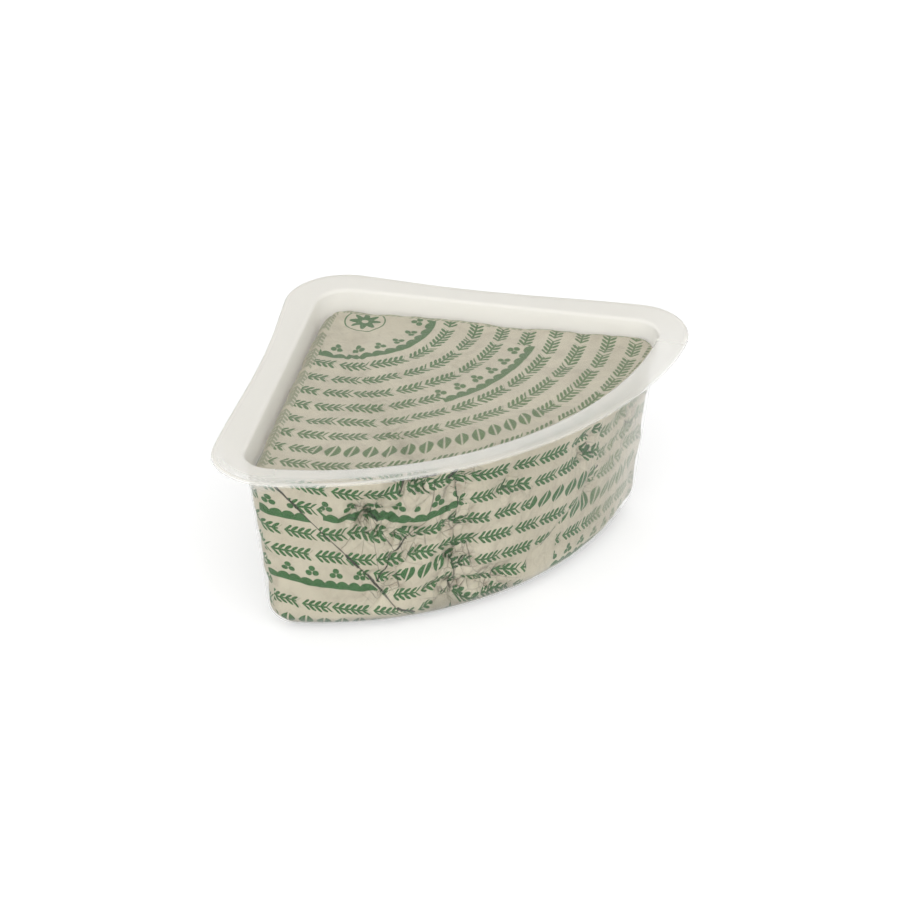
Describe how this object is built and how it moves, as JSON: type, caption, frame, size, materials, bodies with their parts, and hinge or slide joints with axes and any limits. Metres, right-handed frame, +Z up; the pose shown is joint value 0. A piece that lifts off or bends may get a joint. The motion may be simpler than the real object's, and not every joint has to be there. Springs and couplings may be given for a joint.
{
  "type": "wedge of blue cheese in a sealed tray",
  "caption": "Foil-wrapped quarter-round wedge of blue cheese in a clear, wide-rimmed plastic tray closed by a thin clear film.",
  "frame": {"origin": "on the floor, under the middle of the pack's bounding box", "axes": "+Z up, +Y towards the corner where the two straight sides meet, the round side faces -Y, X across the pack"},
  "size_m": [0.2524, 0.1862, 0.0974],
  "materials": {
    "tray_plastic": "translucent milky plastic sheet, smooth with a soft gloss",
    "printed_foil": "matte beige coated foil with rows of small green marks, crinkled, with folded flaps on the round side",
    "clear_film": "thin clear film, smooth and glossy"
  },
  "bodies": {
    "root": {"tray": "tray_plastic", "wrapped_cheese": "printed_foil", "lid_film": "clear_film"}
  },
  "joints": []
}
